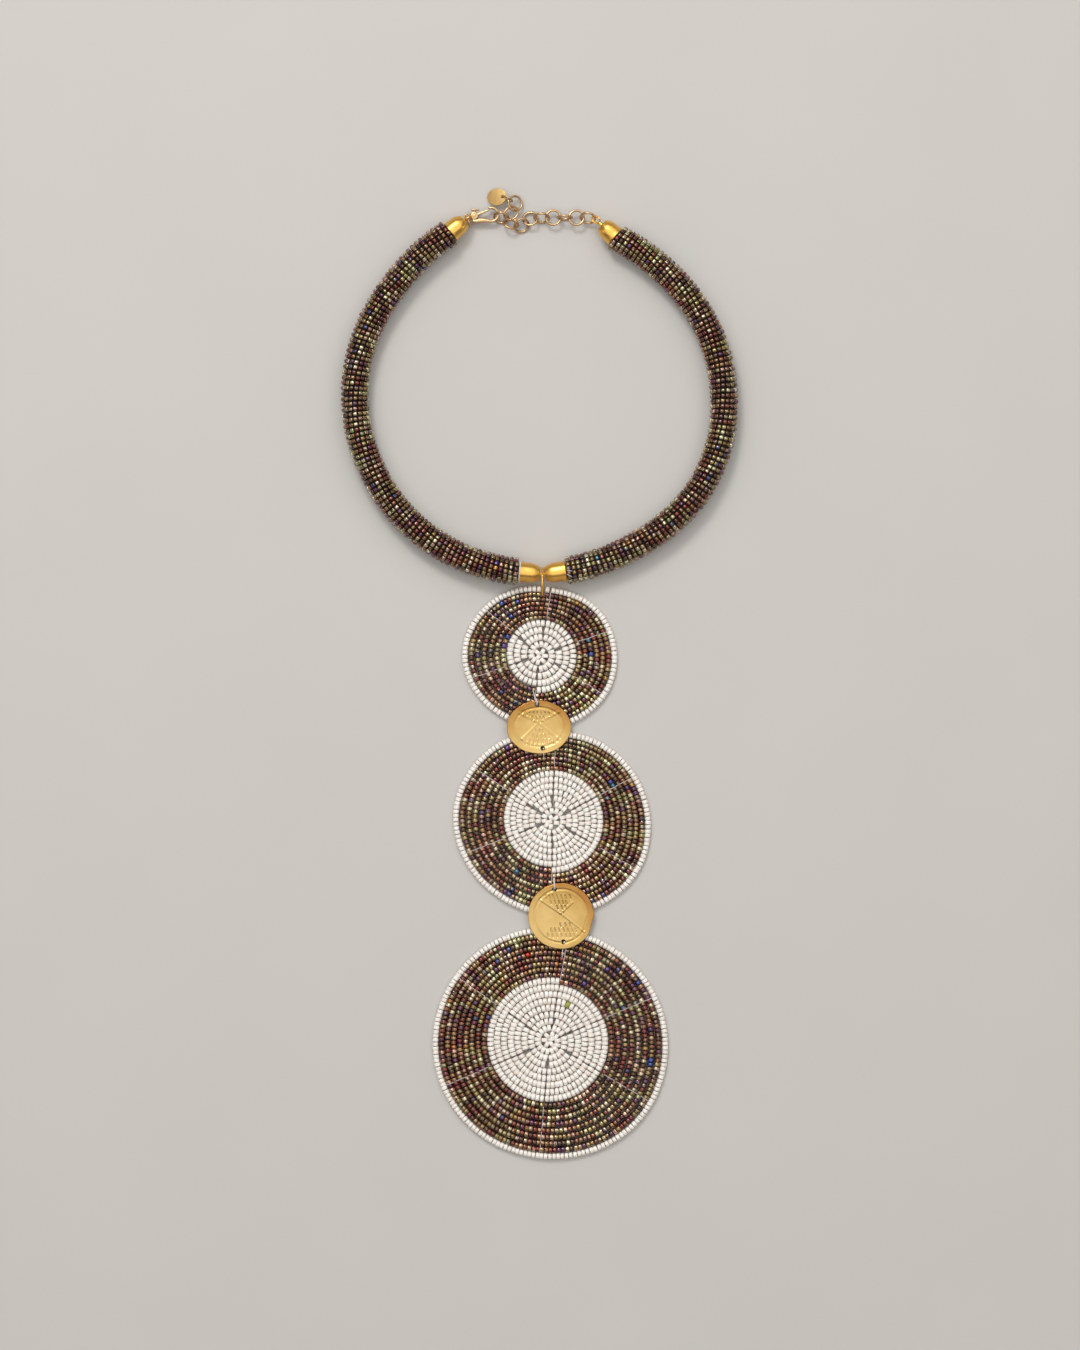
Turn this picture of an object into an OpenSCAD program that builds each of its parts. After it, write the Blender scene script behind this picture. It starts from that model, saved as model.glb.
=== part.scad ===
// Beaded collar necklace: two ropes of wound seed beads, end caps, a back chain with a
// lobster clasp, and a drop of three beaded discs joined by two stamped medallions.
// It lies flat on a surface: Z = 0 is that surface, +Y points to the clasp.

/* [Beads] */
// Outside diameter of a seed bead, which is also the thickness of a disc
bead_d = 2.15; // [2.0:0.05:2.3]
// Depth of the valley between two neighbouring rows of beads
row_dip = 0.45; // [0.2:0.05:0.6]
// Gap between pieces that are only sewn together
sewn_gap = 0.12; // [0.1:0.01:0.2]

/* [Collar] */
// Thickness of a rope, over its beads
rope_d = 10; // [9.8:0.05:10.2]
// Rows of beads wound round each rope
rope_rows = 90; // [80:1:100]
// Diameter of the cord core that goes on into the end caps
core_d = 5.2; // [4:0.1:5.4]
// Length of core inside an end cap
core_in_cap = 3.6; // [3:0.1:4]

/* [End caps] */
// Outside diameter of a cap
cap_d = 6.9; // [6.8:0.1:7.2]
// Length of a front cap
cap_front_len = 7.3; // [7.2:0.1:7.4]
// Length of a back cap
cap_back_len = 6.3; // [6.2:0.1:6.4]
// Diameter of the narrow end of a cap
cap_tip_d = 4.4; // [4:0.1:4.8]
// Wall thickness of a cap
cap_wall = 0.6; // [0.5:0.1:0.6]
// Diameter of the wire between the front caps
wire_d = 1.0; // [0.8:0.1:1.2]

/* [Discs] */
// Rows of brown beads in the top, middle and bottom disc
band_rows = [6, 7, 8];
// Radius of the white centre of the top disc
white_r_1 = 11.9; // [11.5:0.1:12.2]
// Radius of the white centre of the middle disc
white_r_2 = 17.2; // [16.8:0.1:17.6]
// Radius of the white centre of the bottom disc
white_r_3 = 21.0; // [20.6:0.1:21.4]
// Height by which the top disc's edge is lifted where the ring passes through it
ring_lift = 1.5; // [1.2:0.1:1.6]

/* [Medallions] */
// Width of the oval medallion
oval_w = 22.1; // [21.6:0.1:22.6]
// Height of the oval medallion
oval_h = 18.3; // [18:0.1:18.6]
// Diameter of the round medallion
round_d = 22.7; // [22:0.1:23]
// Thickness of a medallion
plate_t = 0.6; // [0.5:0.1:0.8]
// Diameter of a sewing hole in a medallion
sew_hole_d = 1.7; // [1.4:0.1:1.8]

/* [Chain and clasp] */
// Outside diameter of a chain link
link_d = 5.8; // [5.78:0.01:5.82]
// Wire of a chain link
link_wire = 0.8; // [0.7:0.05:0.8]
// Outside diameter of the pendant ring
pendant_ring_d = 10; // [9.8:0.1:10]
// Wire of the pendant ring
pendant_wire = 0.85; // [0.7:0.05:0.9]
// Thickness of the clasp
clasp_t = 1.8; // [1.7:0.1:1.9]
// Radius of the clasp's pivot pin
pin_r = 0.35; // [0.3:0.01:0.36]

/* [Hidden] */
$fn = 48;

iris = [0.30, 0.22, 0.15];
pearl = [0.93, 0.91, 0.87];
rich_gold = [0.95, 0.66, 0.20];
pale_gold = [0.88, 0.72, 0.46];
satin_gold = [0.87, 0.66, 0.32];

// Centre of the neck opening, and the height of the ropes' middle
collar_at = [0.2, 97.3];
rope_z = rope_d / 2;

// Rope courses, columns: ANGLE round the collar's centre from +X, RADIUS to the rope's middle
left_course = [
    [120, 62.8], [138, 61.2], [156, 62.3], [180, 63.7], [204, 63.6], [228, 63.6], [246, 62.9],
    [263, 62.5]
];
right_course = [
    [-82, 62.7], [-66, 61.8], [-48, 63.4], [-24, 65.1], [0, 63.3], [18, 61.9], [36, 60.1],
    [48, 58.8], [62, 58.9]
];
rope_sides = 10;

// Where the four caps start on the ropes' courses, and their directions from mouth to tip
front_left_end = 263.3;
front_right_end = -81.6;
back_left_end = 119.5;
back_right_end = 63.6;
front_left_turn = -5.5;
front_right_turn = 188.5;
back_left_turn = 39;
back_right_turn = 138;

// Disc outlines, columns: ANGLE clockwise from the top, RADIUS to the disc's edge
edge_1 = [
    [12, 23.3], [50, 25.9], [112, 27.2], [150, 26.4], [180, 25.4], [212, 25.2], [270, 27.2],
    [325, 25.0]
];
edge_2 = [
    [2, 30.6], [25, 31.6], [62, 33.0], [120, 35.2], [150, 34.0], [212, 32.4], [247, 33.5],
    [275, 34.5], [325, 32.7]
];
edge_3 = [
    [25, 39.0], [75, 40.5], [130, 42.1], [185, 40.5], [247, 40.7], [300, 39.9], [337, 39.7]
];
disc_sectors = 32;
// Columns: CENTRE, EDGE table, RADIUS of the white centre, ROWS of white beads
discs = [
    [[0.3, 6.6], edge_1, white_r_1, 5],
    [[4.5, -50.4], edge_2, white_r_2, 8],
    [[3.6, -126.6], edge_3, white_r_3, 9]
];

// Chain links from the right cap to the tag, columns: PLACE, ROLL about the chain, TURN in plan
links = [
    [[16.8, 156.8, 3.9], 55, -10],
    [[12.9, 157.0, 3.3], -5, -5],
    [[8.9, 157.1, 2.9], 85, 0],
    [[4.9, 157.1, 2.8], -5, 0],
    [[0.9, 157.0, 2.6], 60, 0],
    [[-3.0, 156.8, 2.0], -25, 20],
    [[-6.0, 154.5, 1.9], 35, 20],
    [[-9.7, 155.15, 2.2], -45, -20],
    [[-12.95, 157.15, 2.5], 52, -15],
    [[-9.6, 158.5, 3.5], -30, 40],
    [[-8.2, 162.0, 2.7], 25, 95]
];

// Parts of the clasp, in the clasp's own plane with its pivot at the origin
clasp_at = [-22.25, 157.7, 2.5];
nose_at = [5.85, 0.45];
nose_r = 2.78;
nose_wall = 0.88;
spine_y = -1.45;
spine_w = 1.7;
tail_at = [-2.4, -0.4];
lever_t = 0.8;
lever_gap = 0.08;
gate_turn = 23;
gate_reach = 5.38;

function mix(a, b, t) = a + (b - a) * t;
function along(turn) = [cos(turn), sin(turn)];
function mean(list, i = 0) = i == len(list) ? 0 : list[i] / len(list) + mean(list, i + 1);

// A table's value at an angle, softened over a few degrees so that the course has no kinks
function soft(table, a) = mean([for (k = [-3:3]) lookup(a + 4 * k, table)]);

// The same table continued past a full turn on both sides
function around(table) = concat(
    [for (row = table) [row[0] - 360, row[1]]],
    table,
    [for (row = table) [row[0] + 360, row[1]]]
);

// A point on a rope's middle line
function rope_at(course, a) = collar_at + soft(course, a) * along(a);
function rope_dir(course, a) = unit(rope_at(course, a + 0.5) - rope_at(course, a - 0.5));
function unit(v) = v / norm(v);

// One ring of points round a line that runs level in the direction of dir
function loop_at(at, dir, r) = [
    for (i = [0:rope_sides - 1])
        let (side = unit([-dir[1], dir[0]]), t = 360 * i / rope_sides)
        [at[0] + r * cos(t) * side[0], at[1] + r * cos(t) * side[1], rope_z + r * sin(t)]
];

// Faces that join count loops of size points each, with flat ends
function tube_faces(count, size) = concat(
    [[for (i = [size - 1:-1:0]) i]],
    [for (k = [0:count - 2], i = [0:size - 1])
        let (j = (i + 1) % size)
        each [
            [k * size + i, k * size + j, (k + 1) * size + j],
            [k * size + i, (k + 1) * size + j, (k + 1) * size + i]
        ]],
    [[for (i = [0:size - 1]) (count - 1) * size + i]]
);

// A rope of wound beads: a ridge for each row, and the core's ends for the caps. The last rows
// turn to face the caps.
module beaded_rope(course, from, to, start_turn, end_turn) {
    crest = rope_d / 2 / cos(180 / rope_sides);
    valley = crest - row_dip;
    steps = 2 * rope_rows;
    turning = 12;
    first = rope_at(course, from);
    last = rope_at(course, to);
    start = along(start_turn);
    end = along(end_turn);
    loops = concat(
        [loop_at(first - core_in_cap * start, start, core_d / 2), loop_at(first, start, core_d / 2)],
        [for (k = [0:steps])
            let (
                a = mix(from, to, k / steps),
                s = max(0, 1 - k / turning),
                e = max(0, 1 - (steps - k) / turning),
                dir = (1 - s - e) * rope_dir(course, a) + s * start + e * end
            )
            loop_at(rope_at(course, a), unit(dir), k % 2 == 0 ? valley : crest)],
        [loop_at(last, end, core_d / 2), loop_at(last + core_in_cap * end, end, core_d / 2)]
    );
    polyhedron([for (l = loops) each l], tube_faces(len(loops), rope_sides), convexity = 10);
}

module rope_left() {
    color(iris) beaded_rope(
        left_course, back_left_end, front_left_end, back_left_turn + 180, front_left_turn
    );
}

module rope_right() {
    color(iris) beaded_rope(
        right_course, front_right_end, back_right_end, front_right_turn - 180, back_right_turn
    );
}

// A bullet-shaped cap along +X with its mouth at the origin, and a bore through its tip
module cap_shell(len, bore) {
    shoulder = (cap_d - cap_tip_d) / 2;
    rotate([0, 90, 0]) rotate_extrude() difference() {
        union() {
            square([cap_d / 2, len - 2 * shoulder]);
            square([cap_d / 2 - shoulder, len]);
            translate([cap_d / 2 - shoulder * 2, len - 2 * shoulder]) circle(shoulder * 2);
        }
        translate([-cap_d, 0]) square([cap_d, len * 2]);
        translate([0, -1]) square([cap_d / 2 - cap_wall, core_in_cap + 1.3]);
        if (bore > 0) square([bore / 2, len + 1]);
    }
}

module place_cap(course, angle, turn) {
    at = rope_at(course, angle) + sewn_gap * along(turn);
    translate([at[0], at[1], rope_z]) rotate(turn) children();
}

// An upright or rolled wire ring with its middle at the origin
module wire_ring(outer, wire, roll = 0, turn = 0) {
    rotate([roll, 0, turn]) rotate_extrude() translate([outer / 2 - wire / 2, 0]) circle(wire / 2);
}

module cap_front_left() {
    color(rich_gold) place_cap(left_course, front_left_end, front_left_turn)
        cap_shell(cap_front_len, wire_d + 1.1);
}

module cap_front_right() {
    color(rich_gold) place_cap(right_course, front_right_end, front_right_turn)
        cap_shell(cap_front_len, wire_d + 1.1);
}

// The back caps carry a soldered eye
module cap_back_left() {
    color(rich_gold) place_cap(left_course, back_left_end, back_left_turn) {
        cap_shell(cap_back_len, 0);
        translate([cap_back_len + 1.45, 0, -0.25]) wire_ring(2.9, 0.6, 90);
        translate([cap_back_len - 1, 0, -0.25]) rotate([0, 90, 0]) cylinder(h = 1.4, r = 0.6);
    }
}

module cap_back_right() {
    color(rich_gold) place_cap(right_course, back_right_end, back_right_turn) {
        cap_shell(cap_back_len, 0);
        translate([cap_back_len + 2.8, 0, -0.6]) wire_ring(3.7, 0.7, 40, 7);
        translate([cap_back_len - 1, 0, -0.5]) rotate([0, 90, 0]) cylinder(h = 2.2, r = 0.8);
    }
}

// Straight wire through the tips of both front caps
module core_wire() {
    left = rope_at(left_course, front_left_end);
    right = rope_at(right_course, front_right_end);
    color(rich_gold) translate([left[0] + 4.6, 34.4, rope_z]) rotate([0, 90, 0])
        cylinder(h = right[0] - left[0] - 9.2, r = wire_d / 2);
}

ring_at = [1.14, 31.6, pendant_ring_d / 2];

module pendant_ring() {
    color(rich_gold) translate(ring_at) wire_ring(pendant_ring_d, pendant_wire, 90, 90);
}

// How far a point of the top disc is lifted, by its angle and its share of the way to the edge
function lift(disc, a, share) =
    let (off = abs((a + 180) % 360 - 180), rise = max(0, share - 0.45) / 0.55)
    disc == 0 && off < 40 ? ring_lift * rise * (0.5 + 0.5 * cos(180 * off / 40)) : 0;

// White centre of a disc: round rows of beads on a thin web of thread
module disc_centre(disc) {
    at = discs[disc][0];
    r = discs[disc][2];
    rows = discs[disc][3];
    pitch = (r - bead_d * 0.25) / rows;
    translate([at[0], at[1], 0]) rotate_extrude() intersection() {
        union() {
            square([r - bead_d / 2, bead_d - row_dip]);
            for (k = [0:rows - 1])
                translate([r - bead_d / 2 - k * pitch, bead_d / 2]) circle(bead_d / 2 + 0.02);
        }
        square([r, bead_d]);
    }
}

// Rows of beads between two shares of a disc's outline, with a flat underside
module disc_rows(disc, rows, inner, outer) {
    at = discs[disc][0];
    section = concat(
        [[0, 0], [0, bead_d - row_dip]],
        [for (k = [0:2 * rows - 2])
            [(k + 1) / (2 * rows), bead_d - (k % 2 == 0 ? 0 : row_dip)]],
        [[1, bead_d - row_dip], [1, 0]]
    );
    size = len(section);
    points = [
        for (s = [0:disc_sectors - 1], p = section)
            let (a = 360 * s / disc_sectors, r = mix(inner[s], outer[s], p[0]))
            [
                at[0] + r * sin(a), at[1] + r * cos(a),
                p[1] + lift(disc, a, r / soft(around(discs[disc][1]), a))
            ]
    ];
    faces = [
        for (s = [0:disc_sectors - 1], i = [0:size - 1])
            let (j = (i + 1) % size, b = s * size, c = (s + 1) % disc_sectors * size)
            each [[b + i, b + j, c + j], [b + i, c + j, c + i]]
    ];
    polyhedron(points, faces, convexity = 10);
}

function outline(disc, less) = [
    for (s = [0:disc_sectors - 1])
        soft(around(discs[disc][1]), 360 * s / disc_sectors) - less
];
function white_outline(disc) = [
    for (s = [0:disc_sectors - 1])
        (discs[disc][2] + sewn_gap) / cos(180 / disc_sectors)
];

module disc_band(disc) {
    disc_rows(disc, band_rows[disc], white_outline(disc), outline(disc, bead_d + sewn_gap));
}

module disc_rim(disc) {
    disc_rows(disc, 1, outline(disc, bead_d), outline(disc, 0));
}

// Room for the pendant ring, which passes between the rim and the band of the top disc
module ring_room() {
    translate(ring_at) wire_ring(pendant_ring_d + 0.3, pendant_wire + 0.3, 90, 90);
}

module disc_1_centre() {
    color(pearl) disc_centre(0);
}

module disc_1_band() {
    color(iris) difference() {
        disc_band(0);
        ring_room();
    }
}

module disc_1_rim() {
    color(pearl) difference() {
        disc_rim(0);
        ring_room();
    }
}

module disc_2_centre() {
    color(pearl) disc_centre(1);
}

module disc_2_band() {
    color(iris) disc_band(1);
}

module disc_2_rim() {
    color(pearl) disc_rim(1);
}

module disc_3_centre() {
    color(pearl) disc_centre(2);
}

module disc_3_band() {
    color(iris) disc_band(2);
}

module disc_3_rim() {
    color(pearl) disc_rim(2);
}

module oval(w, h) {
    polygon([for (a = [0:7.5:359]) [w / 2 * cos(a), h / 2 * sin(a)]]);
}

// A stamped plate with a border groove and two sewing holes
module medallion(w, h, top_hole, low_hole) {
    groove_in = 1.9;
    groove_w = 0.5;
    groove_t = 0.12;
    difference() {
        linear_extrude(plate_t) oval(w, h);
        translate([0, 0, plate_t - groove_t]) linear_extrude(1) difference() {
            oval(w - 2 * groove_in, h - 2 * groove_in);
            oval(w - 2 * groove_in - 2 * groove_w, h - 2 * groove_in - 2 * groove_w);
        }
        for (hole = [top_hole, low_hole])
            translate([hole[0], hole[1], -1]) cylinder(h = plate_t + 2, r = sew_hole_d / 2);
    }
}

module medallion_1() {
    color(satin_gold) translate([0, -18.3, bead_d + sewn_gap])
        medallion(oval_w, oval_h, [-0.7, 7.9], [1.3, -7.3]);
}

module medallion_2() {
    color(satin_gold) translate([7.6, -83.3, bead_d + sewn_gap])
        medallion(round_d, round_d, [-2.3, 9.2], [0.8, -8.9]);
}

module chain_link(k) {
    color(pale_gold) translate(links[k - 1][0])
        wire_ring(link_d, link_wire, links[k - 1][1], links[k - 1][2]);
}

module tag_ring() {
    color(pale_gold) translate([-10.8, 163.5, 3.0]) wire_ring(4.2, 0.6, 80, -25);
}

// Plain oval tag that leans on its ring
module tag() {
    color(pale_gold) translate([-12.4, 164.3, 3.0]) rotate([0, -22, 0])
        translate([-2.3, 0, -0.25]) difference() {
            linear_extrude(0.5) oval(7, 5.9);
            translate([2.3, 0, -1]) cylinder(h = 3, r = 0.6);
        }
}

module clasp_ring() {
    color(pale_gold) translate([-24.15, 155.6, 3.1]) wire_ring(4.7, 0.7, 90, -70);
}

// Claw of the clasp: tail with its eye, cheeks, spine and hooked nose
module clasp_outline() {
    translate(nose_at) difference() {
        circle(nose_r);
        circle(nose_r - nose_wall);
        translate([-2 * nose_r - 0.85, -2 * nose_r]) square(4 * nose_r * [0.5, 1]);
    }
    circle(1.4);
    translate([0, spine_y - spine_w / 2]) square([nose_at[0] - 0.6, spine_w]);
    translate([0, spine_y]) circle(spine_w / 2);
    translate(tail_at) circle(1.2);
    translate([-2.2, -1.3]) square([2.2, 1.8]);
}

module clasp_body() {
    color(pale_gold) translate(clasp_at) {
        difference() {
            translate([0, 0, -clasp_t / 2]) linear_extrude(clasp_t) clasp_outline();
            slot_t = lever_t + 2 * lever_gap;
            translate([0, 0, -slot_t / 2]) linear_extrude(slot_t) {
                circle(1.15);
                translate([-1.15, 0]) square([4, 3]);
                translate([0, -0.55]) square([3, 3]);
            }
            for (side = [0, 1]) mirror([0, 0, side])
                translate([tail_at[0] - 2, tail_at[1] - 2, 0.5]) cube([2.95, 4, 2]);
            translate([tail_at[0], tail_at[1], -2]) cylinder(h = 4, r = 0.7);
            for (side = [0, 1]) mirror([0, 0, side])
                translate([nose_at[0], nose_at[1], clasp_t / 2 - 0.45])
                    cylinder(h = 0.5, r1 = nose_r - nose_wall, r2 = nose_r - nose_wall + 0.55);
        }
        translate([0, 0, -clasp_t / 2]) cylinder(h = clasp_t, r = pin_r);
    }
}

// Sprung lever: hub, gate arm up to the hook's tip, and the thumb tab
module clasp_lever() {
    color(pale_gold) translate(clasp_at) difference() {
        union() {
            translate([0, 0, -lever_t / 2]) linear_extrude(lever_t) {
                circle(1);
                intersection() {
                    rotate(gate_turn) translate([0, -0.4]) square([6, 0.8]);
                    circle(gate_reach);
                }
                translate([-0.6, 0]) square([1.2, 2]);
            }
            translate([-1.2, 1.75, -0.75]) cube([3.0, 0.65, 1.5]);
        }
        translate([0, 0, -2]) cylinder(h = 4, r = pin_r + 0.05);
    }
}

rope_left();
rope_right();
cap_front_left();
cap_front_right();
cap_back_left();
cap_back_right();
core_wire();
pendant_ring();
disc_1_centre();
disc_1_band();
disc_1_rim();
disc_2_centre();
disc_2_band();
disc_2_rim();
disc_3_centre();
disc_3_band();
disc_3_rim();
medallion_1();
medallion_2();
chain_link(1);  // link_1
chain_link(2);  // link_2
chain_link(3);  // link_3
chain_link(4);  // link_4
chain_link(5);  // link_5
chain_link(6);  // link_6
chain_link(7);  // link_7
chain_link(8);  // link_8
chain_link(9);  // link_9
chain_link(10);  // link_10
chain_link(11);  // link_11
tag_ring();
tag();
clasp_ring();
clasp_body();
clasp_lever();
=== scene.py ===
import random
from math import asin, copysign, cos, degrees, exp, hypot, pi, radians, sin

import bpy
from mathutils import Matrix, Vector


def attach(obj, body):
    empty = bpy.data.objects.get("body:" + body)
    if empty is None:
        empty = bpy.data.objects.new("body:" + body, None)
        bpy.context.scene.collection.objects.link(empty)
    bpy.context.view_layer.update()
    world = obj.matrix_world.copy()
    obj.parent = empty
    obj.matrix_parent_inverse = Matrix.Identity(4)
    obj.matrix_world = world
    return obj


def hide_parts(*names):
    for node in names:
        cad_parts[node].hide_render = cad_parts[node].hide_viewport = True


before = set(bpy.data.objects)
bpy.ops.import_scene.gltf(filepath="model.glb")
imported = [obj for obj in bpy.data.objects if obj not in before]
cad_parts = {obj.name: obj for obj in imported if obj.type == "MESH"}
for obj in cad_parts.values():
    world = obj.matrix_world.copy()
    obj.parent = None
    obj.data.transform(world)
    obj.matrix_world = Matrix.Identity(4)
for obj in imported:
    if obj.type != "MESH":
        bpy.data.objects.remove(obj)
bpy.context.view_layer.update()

# ----------------------------------------
# The surface it lies on, the lights and the camera.
# A plain pale sheet, matt, lit by a large soft panel and a small window above and by weak warm
# panels around, seen from straight above as in the photograph.

MM = 0.001


class Wire:
    """An output socket; sums and products on it add Math nodes to its tree."""

    def __init__(self, graph, socket):
        self.graph, self.socket = graph, socket

    def math(self, operation, *terms):
        return self.graph.add("ShaderNodeMath", {"operation": operation}, dict(enumerate(terms)))[0]

    def __add__(self, other):
        return self.math("ADD", self, other)

    def __radd__(self, other):
        return self.math("ADD", other, self)

    def __sub__(self, other):
        return self.math("SUBTRACT", self, other)

    def __rsub__(self, other):
        return self.math("SUBTRACT", other, self)

    def __mul__(self, other):
        return self.math("MULTIPLY", self, other)

    def __rmul__(self, other):
        return self.math("MULTIPLY", other, self)


class Outputs:
    """The outputs of a node, by place or by name."""

    def __init__(self, graph, node):
        self.graph, self.node = graph, node

    def __getitem__(self, key):
        return Wire(self.graph, self.graph.socket(self.node.outputs, key))


class Graph:
    """A node tree to which one method adds any node."""

    def __init__(self, tree):
        self.tree = tree

    def socket(self, sockets, key):
        if isinstance(key, int):
            return sockets[key]
        return next(s for s in sockets if s.name == key and s.enabled)

    def add(self, kind, settings=None, inputs=None):
        node = self.tree.nodes.new(kind)
        for key, value in (settings or {}).items():
            if key == "stops":
                ramp = node.color_ramp.elements
                while len(ramp) < len(value):
                    ramp.new(1.0)
                for stop, (place, colour) in zip(ramp, value):
                    stop.position = place
                    stop.color = (*colour, 1.0)
            elif key == "ramp":
                node.color_ramp.interpolation = value
            else:
                setattr(node, key, value)
        for key, value in (inputs or {}).items():
            place = self.socket(node.inputs, key)
            if isinstance(value, Wire):
                self.tree.links.new(value.socket, place)
            else:
                place.default_value = value
        return Outputs(self, node)


def new_finish(name):
    """An empty material's graph."""
    material = bpy.data.materials.new(name)
    material.use_nodes = True
    material.node_tree.nodes.clear()
    graph = Graph(material.node_tree)
    graph.material = material
    return graph


def surface(graph, **inputs):
    """Ends a material in one shader, with its sockets' names written with underscores."""
    values = {key.replace("_", " "): value for key, value in inputs.items()}
    shader = graph.add("ShaderNodeBsdfPrincipled", {}, values)
    graph.add("ShaderNodeOutputMaterial", {}, {"Surface": shader["BSDF"]})


def grain(graph, size_mm, detail=2.0):
    """Soft noise over the piece, with features about size_mm wide."""
    place = graph.add("ShaderNodeTexCoord")["Object"]
    scale = 1 / MM / size_mm
    return graph.add(
        "ShaderNodeTexNoise", {}, {"Vector": place, "Scale": scale, "Detail": detail}
    )[0]


def blend(graph, factor, first, second):
    """Mixes two colours, each a wire or plain red, green and blue."""
    first, second = (c if isinstance(c, Wire) else (*c, 1.0) for c in (first, second))
    return graph.add("ShaderNodeMix", {"data_type": "RGBA"}, {0: factor, 6: first, 7: second})[2]


def bump(graph, height, depth_mm):
    """Fine relief on a surface, from a height between 0 and 1."""
    return graph.add(
        "ShaderNodeBump", {}, {"Strength": 1.0, "Distance": depth_mm * MM, "Height": height}
    )["Normal"]


def matt(name, grain_mm, detail, dark, pale, roughness, depth_mm=0):
    """A finish without gloss: two tones in a soft grain, which can stand out a little."""
    graph = new_finish(name)
    tone = grain(graph, grain_mm, detail)
    relief = {"Normal": bump(graph, tone, depth_mm)} if depth_mm else {}
    surface(graph, Base_Color=blend(graph, tone, dark, pale), Roughness=roughness, **relief)
    return graph


def new_object(name, data):
    obj = bpy.data.objects.new(name, data)
    bpy.context.scene.collection.objects.link(obj)
    return obj


def to_piece(name, points, faces, finish=None, sharp=None, edges=()):
    """A mesh object from points in millimetres."""
    mesh = bpy.data.meshes.new(name)
    mesh.from_pydata([[c * MM for c in p] for p in points], list(edges), faces)
    mesh.update()
    if finish:
        mesh.materials.append(finish.material)
    if faces:
        mesh.shade_smooth()
        if sharp:
            mesh.set_sharp_from_angle(angle=radians(sharp))
    return new_object(name, mesh)


sheet_finish = matt("pale_matt_sheet", 60, 3.0, (0.53, 0.52, 0.505), (0.56, 0.55, 0.535), 0.85)
sheet_half = 3000
sheet = to_piece(
    "sheet",
    [[x * sheet_half, y * sheet_half, 0] for x, y in ((-1, -1), (1, -1), (1, 1), (-1, 1))],
    [[0, 1, 2, 3]], sheet_finish,
)

# Soft lights that face the middle of the necklace. Columns: name, place, size, power, colour
for name, place, size, power, colour in (
    ("large_panel", (0.0, 0.42, 1.62), (3.2, 3.4), 42.5, (1.0, 0.975, 0.94)),
    ("window_panel", (-0.35, 0.95, 1.25), (0.45, 0.35), 8.5, (1.0, 0.98, 0.95)),
    ("panel_left", (-1.7, -0.2, 0.8), (0.6, 1.2), 2.5, (1.0, 0.80, 0.62)),
    ("panel_right", (1.7, -0.2, 0.8), (0.6, 1.2), 2.5, (1.0, 0.80, 0.62)),
    ("panel_near", (0.0, -1.7, 0.75), (1.6, 0.6), 1.6, (1.0, 0.82, 0.62)),
):
    light = bpy.data.lights.new(name, "AREA")
    light.shape = "RECTANGLE"
    light.size, light.size_y = size
    light.energy, light.color = power, colour
    panel = new_object(name, light)
    panel.location = place
    panel.rotation_euler = (-Vector(place)).to_track_quat("-Z", "Y").to_euler()

world = bpy.data.worlds.new("soft_room")
world.use_nodes = True
bpy.context.scene.world = world
# Dim above, where the panels are, with paler walls low down around the surface
room = Graph(world.node_tree)
upward = room.add(
    "ShaderNodeSeparateXYZ", {}, {0: room.add("ShaderNodeTexCoord")["Generated"]}
)["Z"]
walls = room.add(
    "ShaderNodeMapRange", {"interpolation_type": "SMOOTHSTEP"},
    {"Value": upward, "From Min": 0.03, "From Max": 0.6, "To Min": 0.38, "To Max": 0.085},
)[0]
background = world.node_tree.nodes["Background"]
background.inputs["Color"].default_value = (0.96, 0.96, 0.97, 1.0)
world.node_tree.links.new(walls.socket, background.inputs["Strength"])

camera_data = bpy.data.cameras.new("camera")
camera_data.lens = 92.75
camera_data.clip_start = 0.01
camera = new_object("camera", camera_data)
camera.location = (0.000345, -0.000345, 1.2)
bpy.context.scene.camera = camera
bpy.context.scene.view_settings.view_transform = "Standard"

# ----------------------------------------
# Ropes: the two halves of the collar.
# Seed beads of brown iris glass, strung on a thread that is wound round a cotton cord, row
# against row, and pulled tight. The cord's ends go on into the end caps, where they are glued.

rope_z = 5.0
rope_rows = 90
rope_bead = {"diameter": 1.61, "length": 1.38, "spacing": 1.55, "loose": 0.04, "tilt": 0.09}
winding_r = 4.12
turning_rows = 6
cord_r, cord_end_r, cord_in_cap, cord_steps = 3.35, 2.6, 3.6, 80
collar_at = Vector((0.2, 97.3))
# Columns: angle round the collar's centre, radius to the rope's middle
left_course = [
    (120, 62.8), (138, 61.2), (156, 62.3), (180, 63.7), (204, 63.6), (228, 63.6), (246, 62.9),
    (263, 62.5),
]
right_course = [
    (-82, 62.7), (-66, 61.8), (-48, 63.4), (-24, 65.1), (0, 63.3), (18, 61.9), (36, 60.1),
    (48, 58.8), (62, 58.9),
]
# Where a rope ends: its course, the angle there, and the way the cap faces
cap_ends = {
    "front_left": (left_course, 263.3, -5.5), "front_right": (right_course, -81.6, 188.5),
    "back_left": (left_course, 119.5, 39), "back_right": (right_course, 63.6, 138),
}
ropes = {"rope_left": ("back_left", "front_left"), "rope_right": ("front_right", "back_right")}


def mix(a, b, t):
    return a + (b - a) * t


def lookup(table, a):
    """The value at an angle, straight from one row of the table to the next."""
    if a <= table[0][0]:
        return table[0][1]
    for (a0, v0), (a1, v1) in zip(table, table[1:]):
        if a <= a1:
            return mix(v0, v1, (a - a0) / (a1 - a0))
    return table[-1][1]


def soft(table, a):
    """The same, averaged over 12 degrees each way, so that the curve has no corners."""
    return sum(lookup(table, a + 4 * k) for k in range(-3, 4)) / 7


def along(turn):
    """The direction at an angle from +X."""
    return Vector((cos(radians(turn)), sin(radians(turn))))


def rope_at(course, a):
    return collar_at + soft(course, a) * along(a)


def end_ways(rope):
    """The way a rope runs as it leaves its first cap and as it goes into its last one."""
    first, last = (cap_ends[end][2] for end in ropes[rope])
    return along((first + 180) % 360), along(last)


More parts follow.
